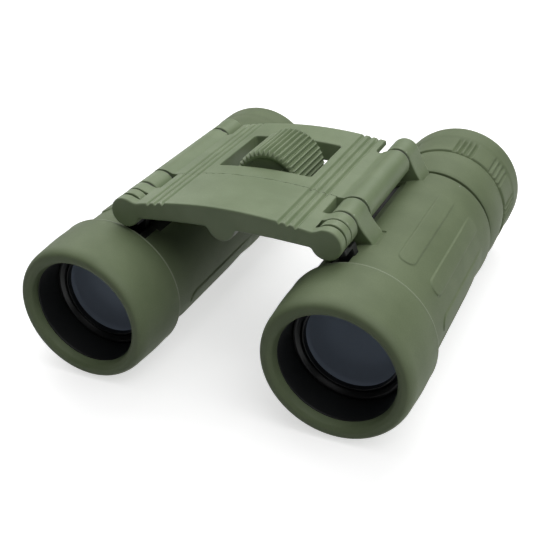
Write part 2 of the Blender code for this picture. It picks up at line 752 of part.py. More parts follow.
def eyecup(side_name, side, hinge):
    """Rubber cup with a flat rear rim and a rounded back."""
    rim_outer, rim_inner, widest, seat = 13.0 * MM, 12.0 * MM, 16.2 * MM, 14.9 * MM
    front, back_start, back_steps, ledge = 80.0 * MM, 91.0 * MM, 5, 89.3 * MM
    profile = []
    for step in range(back_steps + 1):
        turn = math.radians(90 * step / back_steps)
        radius = rim_outer + (widest - rim_outer) * math.sin(turn)
        profile.append((radius, back_start + (LENGTH - back_start) * math.cos(turn)))
    profile += [
        (widest, 84.0 * MM),
        (15.6 * MM, front),
        (seat, front),
        (seat, ledge),
        (11.0 * MM, ledge),
        (11.2 * MM, 96.0 * MM),
        (rim_inner, LENGTH),
    ]
    return green_rubber(turned(side_name + "_eyecup", profile, hinge, -HINGE_RISE, side * TOE_ANGLE))


def barrel(side_name, side, root):
    location = (side * HINGE_SPREAD, 0, HINGE_HEIGHT)
    hinge = add_empty(side_name + "_hinge", root, location, side * -TOE_ANGLE)
    barrel_tube(side_name, side, hinge)
    armour(side_name, side, hinge)
    objective_hood(side_name, side, hinge)
    objective_cell(side_name, hinge)
    objective_lens(side_name, hinge)
    lens_ring(side_name, hinge)
    focus_arm(side_name, hinge)
    prism_cage(side_name, hinge)
    half_penta_prism(side_name, hinge)
    roof_prism(side_name, hinge)
    eyepiece_housing(side_name, side, hinge)
    field_stop(side_name, hinge)
    ocular_cell(side_name, hinge)
    ocular_lenses(side_name, hinge)
    ocular_rings(side_name, hinge)
    eyecup_ring(side_name, side, hinge)
    eyecup(side_name, side, hinge)


def bridge(root):
    front_bridge(root)
    rear_bridge(root)
    for side_name, side in SIDES:
        hinge_rod(root, side_name, side)
    screw_cap(root)
    focus_nut(root)
    axle = add_empty("focus_axle", root, (0, 0, SCREW_HEIGHT))
    focus_wheel(axle)
    focus_screw(axle)
    thrust_washers(axle)
    screw_clip(axle)


clear_scene()
parts = add_collection("folding_binocular")
cutters = add_collection("cutters")
front_rim = add_empty("front_rim", None, (0, -LENGTH / 2, HOOD_RADIUS))
bridge(front_rim)
for barrel_name, barrel_side in SIDES:
    barrel(barrel_name, barrel_side, front_rim)
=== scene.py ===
"""Looks of a compact folding binocular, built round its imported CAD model.

Local sizes are in millimetres: x across the object, y the station behind the front rims of
the objective hoods, and z the height above the barrel axes. Angles round a barrel run from
outwards (0 degrees) over the top (90) to inwards (180). Everything on a barrel is made for
the left (+X) one, and mirrored for the right one.
"""
import json
import math

import bmesh
import bpy
import numpy as np
from mathutils import Matrix, Vector


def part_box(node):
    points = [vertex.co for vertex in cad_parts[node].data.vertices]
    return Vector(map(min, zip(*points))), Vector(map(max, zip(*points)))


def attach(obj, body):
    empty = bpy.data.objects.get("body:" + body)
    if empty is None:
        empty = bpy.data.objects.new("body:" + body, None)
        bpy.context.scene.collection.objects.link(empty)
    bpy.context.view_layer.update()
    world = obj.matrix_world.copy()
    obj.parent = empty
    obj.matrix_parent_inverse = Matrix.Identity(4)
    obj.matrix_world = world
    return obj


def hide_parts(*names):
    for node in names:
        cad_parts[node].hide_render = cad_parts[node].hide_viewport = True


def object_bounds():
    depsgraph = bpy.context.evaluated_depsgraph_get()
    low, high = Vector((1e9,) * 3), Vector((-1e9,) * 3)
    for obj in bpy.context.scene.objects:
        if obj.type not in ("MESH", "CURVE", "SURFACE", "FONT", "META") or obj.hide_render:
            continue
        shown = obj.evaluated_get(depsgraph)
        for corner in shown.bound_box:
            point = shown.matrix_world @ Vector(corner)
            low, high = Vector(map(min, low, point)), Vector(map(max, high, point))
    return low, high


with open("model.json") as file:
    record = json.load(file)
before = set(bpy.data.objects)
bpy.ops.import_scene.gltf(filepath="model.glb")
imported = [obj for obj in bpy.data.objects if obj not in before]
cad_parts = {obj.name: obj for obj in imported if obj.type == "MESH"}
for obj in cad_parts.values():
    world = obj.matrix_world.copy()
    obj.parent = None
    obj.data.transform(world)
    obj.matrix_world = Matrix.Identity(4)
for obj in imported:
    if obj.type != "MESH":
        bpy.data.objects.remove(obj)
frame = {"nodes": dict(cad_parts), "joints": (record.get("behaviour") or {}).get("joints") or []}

CAD_LOW, CAD_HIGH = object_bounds()
MM = 0.001
SIDES = (("left", 1), ("right", -1))


def box_mm(node):
    low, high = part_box(node)
    return low / MM, high / MM


def joint_mm(name):
    places = [joint["pos_m"] for joint in frame["joints"] if joint["name"] == name]
    return Vector(places[0]) / MM


def span(node):
    """The stations of a CAD node's front and back."""
    low, high = box_mm(node)
    return low.y - FRONT, high.y - FRONT


# Places that the frame settles
HOOD_LOW, HOOD_HIGH = box_mm("left_objective_hood")
FRONT = HOOD_LOW.y
SPREAD = (HOOD_LOW.x + HOOD_HIGH.x) / 2
AXIS_HEIGHT = (HOOD_LOW.z + HOOD_HIGH.z) / 2
HINGE_X = joint_mm("left_fold").x
HINGE_Z = joint_mm("left_fold").z - AXIS_HEIGHT
SCREW_Z = joint_mm("focus_turn").z - AXIS_HEIGHT
HINGE_RISE = math.hypot(HINGE_X - SPREAD, HINGE_Z)
HINGE_ANGLE = math.atan2(HINGE_Z, HINGE_X - SPREAD)
TOE = HINGE_ANGLE - math.pi / 2

# Bridge
CREST = 25.4
ARCH_RADIUS = 100.0
UNDERSIDE_X = (0.0, 4.4, 12.0, 21.0)
UNDERSIDE_Z = (20.45, 20.45, 20.2, 19.5)
GROOVES = (13.9, 15.75, 17.6)
GROOVE_HALF_WIDTH, GROOVE_DEPTH = 0.62, 0.5
PLATE_EDGE, KNUCKLE_RADIUS, BOSS_RADIUS = 22.2, 3.5, 3.3
SOFT_EDGE, FIRM_EDGE, SEAM_EDGE = 0.3, 0.18, 0.06
UPPER_FILLET, LOWER_FILLET, BOSS_FILLET = 0.9, 0.5, 0.8
SEAM, HINGE_GAP = 0.1, 0.4
ROD_ROOM, SCREW_ROOM = 1.15, 1.75

# Barrel
TUBE_OUTER, TUBE_INNER = 15.0, 13.0
ARMOUR_RADIUS, ARMOUR_INNER, ARMOUR_END = 15.7, 15.05, 65.6
# The second radius is that of the dark discs that paint shade into the hinge gaps.
LUG_RADIUS, GAP_SHADE_RADIUS = 3.45, 3.1
FRONT_LUG, REAR_LUG = (23.75, 30.3), (59.0, 66.0)
FRONT_SWEEP, REAR_SWEEP = 2.4, 1.3
LUG_LEAN = math.radians(3.2)
SPIGOT_RADIUS = 12.7
HOOD_RADIUS, HOOD_INNER, HOOD_END = 17.1, 15.2, 15.1
EYECUP_RADIUS, EYECUP_END = 16.5, 98.0
FLARE, PAD_HEIGHT = 0.35, 0.3

# Fineness of turned pieces, in segments round the axis
PLAIN_TURN, SMOOTH_TURN, RIBBED_TURN, KNURLED_TURN = 144, 192, 720, 640


# Solids as distance functions: negative inside, positive outside


def both(a, b, rounding=0.0):
    """Where two solids overlap, with the edge between them rounded."""
    corner = np.hypot(np.maximum(a + rounding, 0), np.maximum(b + rounding, 0))
    return np.minimum(np.maximum(a, b), -rounding) + corner


def either(a, b, fillet=0.0):
    """Two solids joined, with a fillet in the corner between them."""
    return -both(-a, -b, fillet)


def without(a, b, rounding=0.0):
    return both(a, -b, rounding)


def slab(value, low, high):
    return np.abs(value - (low + high) / 2) - (high - low) / 2


def circle(u, v, radius):
    return np.hypot(u, v) - radius


def graded(low, high, spots, fine, coarse, growth=0.25):
    """Grid lines that crowd round the spots and spread out between them."""
    lines = [low]
    while lines[-1] < high:
        gap = min(abs(lines[-1] - spot) for spot in spots)
        lines.append(lines[-1] + min(coarse, fine + growth * gap))
    return np.array(lines)


def mirrored(lines):
    return np.concatenate([-lines[::-1], lines])


# Meshes


def crossings(value, axes, cells):
    """The middle of the places where the surface crosses each cell's twelve edges."""
    low = np.stack([axis[cells[:, i]] for i, axis in enumerate(axes)], 1)
    high = np.stack([axis[cells[:, i] + 1] for i, axis in enumerate(axes)], 1)
    total, hits = np.zeros_like(low), np.zeros(len(low))
    for axis in range(3):
        for b in (0, 1):
            for c in (0, 1):
                start = np.zeros(3, int)
                start[(axis + 1) % 3], start[(axis + 2) % 3] = b, c
                end = start.copy()
                end[axis] = 1
                first = value[tuple((cells + start).T)]
                second = value[tuple((cells + end).T)]
                crossed = (first < 0) != (second < 0)
                share = np.zeros(len(low))
                share[crossed] = (first / (first - second + ~crossed))[crossed]
                place = np.tile(start.astype(float), (len(low), 1))
                place[:, axis] = share
                total += (low + place * (high - low)) * crossed[:, None]
                hits += crossed
    return total / hits[:, None], low, high


def settle(solid, points, low, high, steps=3, reach=0.01):
    """Moves each point onto the surface, without leaving its bounds."""
    for _ in range(steps):
        slopes = []
        for axis in range(3):
            nudge = np.zeros(3)
            nudge[axis] = reach
            ahead, behind = points + nudge, points - nudge
            slopes.append((solid(*ahead.T) - solid(*behind.T)) / (2 * reach))
        slope = np.stack(slopes, 1)
        steepness = np.maximum((slope**2).sum(1), 0.05)
        points = np.clip(points - slope * (solid(*points.T) / steepness)[:, None], low, high)
    return points


def evened(points, faces, period):
    """Each point moved halfway to the middle of its neighbours."""
    start, end = faces.ravel(), np.roll(faces, 1, 1).ravel()
    step = points[end] - points[start]
    if period:
        step[:, 0] -= period * np.round(step[:, 0] / period)
    total = np.stack([np.bincount(start, step[:, axis], len(points)) for axis in range(3)], 1)
    return points + 0.5 * total / np.maximum(np.bincount(start, minlength=len(points)), 1)[:, None]


def surface(solid, axes, period=None, evenings=2, freedom=0.3):
    """Closed mesh of solid(u, v, w) on a grid. With a period, the first axis runs in a circle.

    The points are evened out a few times, and may stray from their cells by a share of a cell.
    """
    if period:
        axes = [np.append(axes[0], axes[0][0] + period), *axes[1:]]
    value = np.array(np.broadcast_to(
        solid(*np.meshgrid(*axes, indexing="ij", sparse=True)), [len(axis) for axis in axes]
    ))
    if period:
        value[-1] = value[0]
    inside = value < 0
    count = np.zeros([len(axis) - 1 for axis in axes], int)
    for i in (0, 1):
        for j in (0, 1):
            for k in (0, 1):
                count += inside[i:i + count.shape[0], j:j + count.shape[1], k:k + count.shape[2]]
    mixed = (count > 0) & (count < 8)
    cells = np.argwhere(mixed)
    number = np.full(mixed.shape, -1)
    number[mixed] = np.arange(len(cells))
    points, low, high = crossings(value, axes, cells)
    points = settle(solid, points, low, high)
    faces = []
    for axis in range(3):
        b, c = (axis + 1) % 3, (axis + 2) % 3
        first = np.take(inside, range(len(axes[axis]) - 1), axis)
        second = np.take(inside, range(1, len(axes[axis])), axis)
        edges = np.argwhere(first != second)
        if period and axis:
            edges = edges[edges[:, 0] < len(axes[0]) - 1]
        quad = []
        for back_b, back_c in ((1, 1), (0, 1), (0, 0), (1, 0)):
            cell = edges.copy()
            cell[:, b] -= back_b
            cell[:, c] -= back_c
            quad.append(number[tuple(cell.T)])
        quad = np.stack(quad, 1)
        entering = ~first[tuple(edges.T)]
        quad[entering] = quad[entering, ::-1]
        faces.append(quad)
    faces = np.concatenate(faces)
    room = freedom * (high - low)
    for _ in range(evenings):
        points = np.clip(evened(points, faces, period), low - room, high + room)
        points = settle(solid, points, low - room, high + room)
    return points, faces


def rounded(corners, steps=5):
    """A closed outline from (radius, station, rounding) corners."""
    outline = []
    for i, (radius, station, rounding) in enumerate(corners):
        here = np.array((radius, station))
        if not rounding:
            outline.append(here)
            continue
        before = np.array(corners[i - 1][:2]) - here
        after = np.array(corners[(i + 1) % len(corners)][:2]) - here
        start = here + before * (rounding / np.hypot(*before))
        end = here + after * (rounding / np.hypot(*after))
        for step in range(steps + 1):
            t = step / steps
            outline.append((1 - t) ** 2 * start + 2 * t * (1 - t) * here + t * t * end)
    return outline


def arc(center, radii, first, last, steps):
    """Points on an ellipse, from one angle in degrees to another."""
    turns = [math.radians(first + (last - first) * i / steps) for i in range(steps + 1)]
    return [(center[0] + radii[0] * math.cos(t), center[1] + radii[1] * math.sin(t)) for t in turns]


def turned(outline, middle, segments=PLAIN_TURN, shape=None):
    """A closed outline of (radius, station) turned about the line through middle (x, z)."""
    radius, station = np.array(outline, float).T
    area = np.sum(radius * np.roll(station, -1) - np.roll(radius, -1) * station)
    if area < 0:
        radius, station = radius[::-1], station[::-1]
    angle = math.tau * np.arange(segments) / segments
    reach = np.tile(radius[:, None], (1, segments))
    if shape:
        reach = reach + shape(angle[None, :], station[:, None], radius[:, None])
    across = middle[0] + reach * np.cos(angle)
    height = middle[1] + reach * np.sin(angle)
    points = np.stack([across, np.tile(station[:, None], (1, segments)), height], -1)
    row = np.arange(len(radius))[:, None] * segments
    column = np.arange(segments)[None, :]
    next_row, next_column = np.roll(row, -1, 0), np.roll(column, -1, 1)
    faces = [row + column, next_row + column, next_row + next_column, row + next_column]
    return points.reshape(-1, 3), np.stack(faces, -1).reshape(-1, 4)


def polar_points(points):
    """From (distance round the barrel, radius, station) to (x, y, z)."""
    angle = points[:, 0] / ARMOUR_RADIUS
    across = SPREAD + points[:, 1] * np.cos(angle)
    return np.stack([across, points[:, 2], points[:, 1] * np.sin(angle)], 1)


def add_piece(name, shape, look, body, *replaced, side=1):
    """Places a mesh, given in local millimetres, on its body, and hides the CAD nodes it replaces."""
    points, faces = shape
    if side < 0:
        faces = faces[:, ::-1]
    world = (points * (side, 1, 1) + (0, FRONT, AXIS_HEIGHT)) * MM
    mesh = bpy.data.meshes.new(name)
    mesh.from_pydata(world.tolist(), [], faces.tolist())
    edited = bmesh.new()
    edited.from_mesh(mesh)
    bmesh.ops.remove_doubles(edited, verts=edited.verts, dist=1e-8)
    wires = [edge for edge in edited.edges if edge.is_wire]
    bmesh.ops.delete(edited, geom=wires, context="EDGES")
    edited.to_mesh(mesh)
    edited.free()
    mesh.shade_smooth()
    mesh.set_sharp_from_angle(angle=math.radians(50))
    piece = bpy.data.objects.new(name, mesh)
    bpy.context.scene.collection.objects.link(piece)
    material, slot = look
    mesh.materials.append(material)
    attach(piece, body)
    if replaced:
        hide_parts(*replaced)
    return piece


# Materials


def add_node(tree, kind, **values):
    """A shader node with its settings, and its inputs by name: spaces are underscores."""
    node = tree.nodes.new("ShaderNode" + kind)
    for key, value in values.items():
        if hasattr(node, key):
            setattr(node, key, value)
            continue
        socket = node.inputs[key.replace("_", " ")]
        if isinstance(value, bpy.types.NodeSocket):
            tree.links.new(value, socket)
        else:
            socket.default_value = value
    return node


def blended(tree, factor, first, second):
    """Mix of two colours."""
    node = add_node(tree, "Mix", data_type="RGBA")
    for socket, value in ((node.inputs[0], factor), (node.inputs[6], first), (node.inputs[7], second)):
        if isinstance(value, bpy.types.NodeSocket):
            tree.links.new(value, socket)
        elif isinstance(value, tuple):
            socket.default_value = (*value, 1.0)
        else:
            socket.default_value = value
    return node.outputs[2]


def scaled(tree, value, low, high, to_low, to_high):
    node = add_node(tree, "MapRange", Value=value)
    node.inputs["From Min"].default_value = low
    node.inputs["From Max"].default_value = high
    node.inputs["To Min"].default_value = to_low
    node.inputs["To Max"].default_value = to_high
    return node.outputs["Result"]


def moulded(name, color, shade, highlight, roughness, grain_size, grain_height):
    """Moulded plastic, rubber or painted metal: uneven colour, fine grain, and convex edges made paler by
    their pointiness. That is a painted highlight where light would catch the rounding, with a little edge
    wear.
    """
    cloud_size, speckle_share = 40 * grain_size, 0.35
    edge_start, edge_full, edge_share = 0.515, 0.63, 0.6
    material = bpy.data.materials.new(name)
    material.use_nodes = True
    tree = material.node_tree
    shader = tree.nodes["Principled BSDF"]
    place = add_node(tree, "TexCoord").outputs["Object"]
    clouds = add_node(tree, "TexNoise", Vector=place, Scale=1 / cloud_size, Detail=3.0)
    grain = add_node(tree, "TexNoise", Vector=place, Scale=1 / grain_size, Detail=2.0, Roughness=0.6)
    pits = add_node(tree, "TexVoronoi", Vector=place, Scale=0.6 / grain_size)
    uneven = scaled(tree, clouds.outputs["Fac"], 0.35, 0.65, 0.0, 1.0)
    speckle = scaled(tree, grain.outputs["Fac"], 0.3, 0.7, 0.0, 1.0)
    body = blended(tree, uneven, shade, color)
    body = blended(tree, scaled(tree, speckle, 0.0, 1.0, 0.0, speckle_share), body, shade)
    # Painted highlight: convex edges turn paler with their pointiness, as if light caught the rounding; it
    # also stands for a little wear.
    painted_highlight_and_wear = add_node(tree, "NewGeometry").outputs["Pointiness"]
    body = blended(tree, scaled(tree, painted_highlight_and_wear, edge_start, edge_full, 0.0, edge_share), body, highlight)
    tree.links.new(body, shader.inputs["Base Color"])
    rough = scaled(tree, speckle, 0.0, 1.0, roughness - 0.05, roughness + 0.07)
    tree.links.new(rough, shader.inputs["Roughness"])
    height = add_node(tree, "Math", operation="ADD")
    tree.links.new(grain.outputs["Fac"], height.inputs[0])
    tree.links.new(scaled(tree, pits.outputs["Distance"], 0.0, 1.0, 0.0, 0.5), height.inputs[1])
    bump = add_node(tree, "Bump", Strength=1.0, Distance=grain_height, Height=height.outputs[0])
    tree.links.new(bump.outputs["Normal"], shader.inputs["Normal"])
    return material


def turned_metal(name, color, roughness, metallic):
    """Machined surface: fine rings left by the tool, with a little unevenness."""
    ring_scale, stain_scale, stain_darkness, ring_height = 1500.0, 300.0, 0.7, 0.00001
    material = bpy.data.materials.new(name)
    material.use_nodes = True
    tree = material.node_tree
    shader = tree.nodes["Principled BSDF"]
    place = add_node(tree, "TexCoord").outputs["Object"]
    rings = add_node(tree, "TexWave", Vector=place, Scale=ring_scale, Distortion=1.5, Detail=2.0)
    rings.bands_direction = "Y"
    stains = add_node(tree, "TexNoise", Vector=place, Scale=stain_scale, Detail=4.0)
    dark = tuple(stain_darkness * part for part in color)
    body = blended(tree, scaled(tree, stains.outputs["Fac"], 0.3, 0.7, 0.0, 1.0), color, dark)
    tree.links.new(body, shader.inputs["Base Color"])
    rough = scaled(tree, rings.outputs["Fac"], 0.0, 1.0, roughness, roughness + 0.12)
    tree.links.new(rough, shader.inputs["Roughness"])
    bump = add_node(tree, "Bump", Strength=0.6, Distance=ring_height, Height=rings.outputs["Fac"])
    tree.links.new(bump.outputs["Normal"], shader.inputs["Normal"])
    shader.inputs["Metallic"].default_value = metallic
    return material


def optical(name, color, tint, index, roughness, painted_glow=0.0):
    """Clear glass with a trace of dust, and a faint bluish emission: a painted glow that stands in for the
    coating's sheen and gives the lens a dark slate tone.
    """
    dust_scale, painted_glow_scale, painted_glow_color = 250.0, 45.0, (0.68, 0.80, 1.0, 1.0)
    material = bpy.data.materials.new(name)
    material.use_nodes = True
    tree = material.node_tree
    shader = tree.nodes["Principled BSDF"]
    place = add_node(tree, "TexCoord").outputs["Object"]
    dust = add_node(tree, "TexNoise", Vector=place, Scale=dust_scale, Detail=3.0)
    rough = scaled(tree, dust.outputs["Fac"], 0.4, 0.8, roughness, roughness + 0.04)
    tree.links.new(rough, shader.inputs["Roughness"])
    shader.inputs["Base Color"].default_value = (*color, 1.0)
    shader.inputs["IOR"].default_value = index
    shader.inputs["Transmission Weight"].default_value = 1.0
    shader.inputs["Specular Tint"].default_value = (*tint, 1.0)
    # Painted glow: a faint uneven bluish emission in place of light reflected by the coating.
    painted_glow_noise = add_node(tree, "TexNoise", Vector=place, Scale=painted_glow_scale, Detail=1.0)
    glow = scaled(tree, painted_glow_noise.outputs["Fac"], 0.3, 0.7, 0.8 * painted_glow, 1.2 * painted_glow)
    shader.inputs["Emission Color"].default_value = painted_glow_color
    tree.links.new(glow, shader.inputs["Emission Strength"])
    return material


SAGE_PLASTIC = (
    moulded("sage_plastic", (0.257, 0.323, 0.188), (0.213, 0.276, 0.153), (0.46, 0.53, 0.38), 0.47,
            0.00022, 0.000012),
    "green_plastic",
)
OLIVE_RUBBER = (
    moulded("olive_rubber", (0.190, 0.241, 0.130), (0.152, 0.197, 0.101), (0.36, 0.42, 0.28), 0.62,
            0.00028, 0.00002),
    "green_rubber",
)
PALE_RUBBER = (
    moulded("pale_rubber", (0.30, 0.35, 0.24), (0.25, 0.30, 0.19), (0.40, 0.45, 0.33), 0.5,
            0.00028, 0.00001),
    "green_rubber",
)
BLACK_PLASTIC = (
    moulded("black_plastic", (0.012, 0.013, 0.013), (0.008, 0.009, 0.009), (0.05, 0.05, 0.05), 0.5,
            0.0003, 0.00001),
    "black_plastic",
)
BLACK_ANODISED = (turned_metal("black_anodised", (0.010, 0.011, 0.012), 0.34, 0.3), "black_plastic")
STEEL = (turned_metal("ground_steel", (0.55, 0.55, 0.56), 0.25, 1.0), "steel")
BRASS = (turned_metal("machined_brass", (0.60, 0.42, 0.18), 0.25, 1.0), "brass")
# The lens glass carries a faint painted glow for the coating's sheen.
LENS_GLASS = (
    optical("coated_lens", (0.30, 0.33, 0.36), (0.55, 0.75, 1.0), 1.22, 0.3, 0.017), "optical_glass",
)
PRISM_GLASS = (optical("prism_glass", (0.85, 0.90, 0.90), (1.0, 1.0, 1.0), 1.5, 0.02), "optical_glass")
INDEX_PAINT = (
    moulded("index_paint", (0.42, 0.45, 0.38), (0.36, 0.39, 0.33), (0.5, 0.5, 0.5), 0.4, 0.0003, 0.000005),
    "green_rubber",
)


# Bridge


def crest(across):
    """Height of the bridge's arched top."""
    return CREST - across**2 / (2 * ARCH_RADIUS)


def grooved(across):
    """The same, with three rounded grooves on each side."""
    height = crest(across)
    for place in GROOVES:
        share = np.clip(np.abs(across - place) / GROOVE_HALF_WIDTH, 0, 1)
        height = height - GROOVE_DEPTH * np.cos(share * math.pi / 2) ** 2
    return height


def bridge_body(x, y, z, stations, edges, rear_rounding=0.0):
    """Arched plate with a hinge knuckle down each side and the screw's boss below."""
    across = np.abs(x)
    start, end = stations
    top = both(z - grooved(across), y - end, rear_rounding)
    floor = np.interp(across, UNDERSIDE_X, UNDERSIDE_Z) - z
    plate = both(both(top, floor, SOFT_EDGE), across - PLATE_EDGE, SOFT_EDGE)
    knuckle = circle(across - HINGE_X, z - HINGE_Z, KNUCKLE_RADIUS)
    section = either(plate, knuckle, np.where(z > HINGE_Z, UPPER_FILLET, LOWER_FILLET))
    section = either(section, circle(x, z - SCREW_Z, BOSS_RADIUS), BOSS_FILLET)
    return both(both(section, start - y, edges[0]), y - end, edges[1])


def bridge_lines():
    """Grid lines across and up the bridge, closest together at its edges and grooves."""
    half_width, low, high = 28.2, 16.6, 25.9
    edges_across = (11.5, *GROOVES, 19.7, 21.2, 27.4)
    edges_up = (17.6, 20.3, 23.5, 24.3, 25.4)
    across = graded(0.05, half_width, edges_across, fine=0.11, coarse=0.5, growth=0.12)
    return mirrored(across), graded(low, high, edges_up, fine=0.13, coarse=0.4)


def front_bridge_solid(x, y, z):
    """Front half: notches for the front lugs, slots for the arms, and blind holes for rods and screw."""
    front_edge = 0.4
    notch_edge, notch_start = 19.85, 22.95
    slot_radius, slot_stations = 4.0, (16.3, 19.75)
    rod_end, screw_radius, screw_end = 14.6, 2.45, 17.6
    across = np.abs(x)
    solid = bridge_body(x, y, z, span("front_bridge"), (front_edge, SEAM_EDGE))
    from_hinge = np.hypot(across - HINGE_X, z - HINGE_Z)
    notch = both(notch_edge - across, notch_start - y, SOFT_EDGE)
    slot = both(from_hinge - slot_radius, slab(y, *slot_stations))
    rod_hole = both(from_hinge - ROD_ROOM, rod_end - y)
    bore = both(circle(x, z - SCREW_Z, screw_radius), screw_end - y)
    for cutter in (notch, slot, rod_hole, bore):
        solid = without(solid, cutter, FIRM_EDGE)
    return solid


def rear_bridge_solid(x, y, z):
    """Rear half: window for the wheel, notches and slots at the rear lugs, and a thinner tail."""
    stations = span("front_bridge")[1] + SEAM, span("rear_bridge")[1]
    rear_rounding, window_edge, window_corner, window_rim = 2.4, 11.6, 0.8, 0.35
    window_stations = 36.0, 55.0
    notch_edge, slot_edge, slot_start, slot_corner = 19.5, 21.1, 57.0, 0.7
    tail_edge, tail_start, tail_thickness, tail_corner, tail_fillet = 16.5, 58.0, 1.5, 1.0, 0.5
    end_corner, pocket_radius, pocket_start = 1.5, 2.5, 62.7
    knuckle_end = REAR_LUG[0] - HINGE_GAP
    across = np.abs(x)
    solid = bridge_body(x, y, z, stations, (SEAM_EDGE, FIRM_EDGE), rear_rounding)
    window = both(across - window_edge, slab(y, *window_stations), window_corner)
    solid = without(solid, window, window_rim)
    notch = both(notch_edge - across, knuckle_end - y, SOFT_EDGE)
    slot = both(slab(across, notch_edge, slot_edge), slot_start - y, slot_corner)
    behind = both(tail_edge - across, tail_start - y, tail_corner)
    relief = both(z - crest(across) + tail_thickness, behind, tail_fillet)
    bore = circle(x, z - SCREW_Z, SCREW_ROOM)
    pocket = both(circle(x, z - SCREW_Z, pocket_radius), pocket_start - y)
    for cutter in (either(notch, slot), relief, bore, pocket):
        solid = without(solid, cutter, FIRM_EDGE)
    corner = both(-both(across - notch_edge, y - stations[1], end_corner), tail_start - y)
    return without(solid, corner, FIRM_EDGE)


def slide_pad_solid(x, y, z):
    """Dark pad below the front plate, either side of its boss."""
    half_width, stations, heights, boss_room = 11.0, (17.6, 30.5), (18.9, 20.6), 3.4
    corner, edge, rim = 0.8, 0.3, 0.1
    pad = both(both(np.abs(x) - half_width, slab(y, *stations), corner), slab(z, *heights), edge)
    return without(pad, circle(x, z - SCREW_Z, boss_room), rim)


def bridge_pieces():
    across, height = bridge_lines()
    stations = graded(13.4, 31.4, (14.0, 16.3, 19.8, 23.0, 30.8), fine=0.12, coarse=0.5)
    add_piece("front_bridge_plate", surface(front_bridge_solid, (across, stations, height)),
              SAGE_PLASTIC, "front_bridge", "front_bridge")
    pad_lines = mirrored(np.arange(0.1, 11.6, 0.3)), np.arange(17.1, 31.0, 0.25), np.arange(18.6, 21.0, 0.2)
    add_piece("slide_pad", surface(slide_pad_solid, pad_lines), BLACK_PLASTIC, "front_bridge",
              "front_bridge")
    stations = graded(30.3, 66.6, (31.0, 36.0, 55.0, 57.0, 58.6, 66.0), fine=0.13, coarse=0.7)
    add_piece("rear_bridge_plate", surface(rear_bridge_solid, (across, stations, height)),
              SAGE_PLASTIC, "bridge", "rear_bridge")
    start, end = span("screw_cap")
    radius, dish = 2.2, 0.3
    plug = rounded([(0, start, 0), (radius, start, 0), (radius, end, 0.25), (1.5, end, 0.15),
                    (1.3, end - dish, 0.1), (0, end - dish, 0)])
    add_piece("screw_plug", turned(plug, (0, SCREW_Z), segments=64), SAGE_PLASTIC, "bridge", "screw_cap")


# Focus wheel


def knurl(angle, station, radius):
    """Forty rounded ribs along the wheel's rim, open at the front edge."""
    ribs, depth, start = 40, 0.85, math.radians(2.9)
    back, run_out, root = 52.5, 0.3, 7.85
    valley = 0.5 - 0.5 * np.cos(ribs * (angle - start))
    fade = np.clip((back - station) / run_out, 0, 1)
    return -depth * valley * fade * (radius > root)


def focus_wheel():
    start, end = span("focus_wheel")
    rim, bore, dish = 8.25, 1.9, 0.6
    corners = [(bore, start + dish, 0.1), (6.2, start + dish, 0.3), (6.5, start + 0.1, 0.15)]
    corners += [(7.0, start, 0.1), (7.9, start + 0.05, 0)]
    corners += [(rim, station, 0) for station in np.linspace(start + 0.3, end - 0.6, 28)]
    corners += [(rim, end - 0.35, 0.1), (rim - 0.35, end, 0.1), (6.9, end, 0), (bore, end, 0.1)]
    shape = turned(rounded(corners), (0, SCREW_Z), KNURLED_TURN, knurl)
    add_piece("ribbed_focus_wheel", shape, SAGE_PLASTIC, "focus_wheel", "focus_wheel")


# Barrels


def lug_solid(stations, sweep):
    """Hinge eye and the strap from it, down into the barrel a little outwards and backwards."""
    inner_side, root_radius, edge, rim = 2.9, 14.1, 0.3, 0.1

    def solid(x, y, z):
        out = (x - SPREAD) * math.cos(TOE) + z * math.sin(TOE)
        up = z * math.cos(TOE) - (x - SPREAD) * math.sin(TOE) - HINGE_RISE
        outer_side = out * math.cos(LUG_LEAN) + up * math.sin(LUG_LEAN) - LUG_RADIUS
        strap = both(outer_side, -out - inner_side)
        strap = both(strap, both(up, root_radius - np.hypot(x - SPREAD, z)))
        depth = np.clip(-up / (HINGE_RISE - ARMOUR_RADIUS), 0, 1)
        moved = slab(y - sweep * depth**1.5, *stations)
        lug = both(either(circle(out, up, LUG_RADIUS), strap), moved, edge)
        return without(lug, circle(out, up, ROD_ROOM), rim)

    return solid


def lugs(side_name, side):
    gap = 0.16
    across, height = np.arange(19.43, 31.6, gap), np.arange(11.8, 24.5, gap)
    for place, stations, sweep in (("front", FRONT_LUG, FRONT_SWEEP), ("rear", REAR_LUG, REAR_SWEEP)):
        spots = (*stations, stations[0] + sweep, stations[1] + sweep)
        along = graded(stations[0] - 0.54, stations[1] + sweep + 0.4, spots, fine=0.13, coarse=0.4)
        shape = surface(lug_solid(stations, sweep), (across, along, height))
        add_piece(side_name + "_" + place + "_lug", shape, SAGE_PLASTIC, side_name + "_barrel",
                  side_name + "_barrel_tube", side=side)


def gap_shade_discs(side_name, side):
    """Dark discs that fill the gaps between the hinge's eyes and knuckles: painted shade that keeps those
    deep gaps black.
    """
    segments = 48
    gaps = (("front", 22.98, FRONT_LUG[0]), ("middle", FRONT_LUG[1], 30.87), ("rear", 58.62, REAR_LUG[0]))
    for place, start, end in gaps:
        disc = [(ROD_ROOM, start), (GAP_SHADE_RADIUS, start), (GAP_SHADE_RADIUS, end), (ROD_ROOM, end)]
        shape = turned(disc, (HINGE_X, HINGE_Z), segments)
        add_piece(side_name + "_" + place + "_washer", shape, BLACK_PLASTIC, side_name + "_barrel",
                  side_name + "_barrel_tube", side=side)


def around(degrees):
    """Distance round the barrel, at the armour's radius."""
    return ARMOUR_RADIUS * math.radians(degrees)


def nearest_turn(distance):
    """Wraps a distance round the barrel to the side nearest zero."""
    full = ARMOUR_RADIUS * math.tau
    return (distance + full / 2) % full - full / 2


def opening(s, y, middle, half_width, end):
    """Opening from the front of a sleeve, with its middle at an angle round the barrel."""
    corner = 0.3
    return both(np.abs(nearest_turn(s - ARMOUR_RADIUS * middle)) - half_width, y - end, corner)


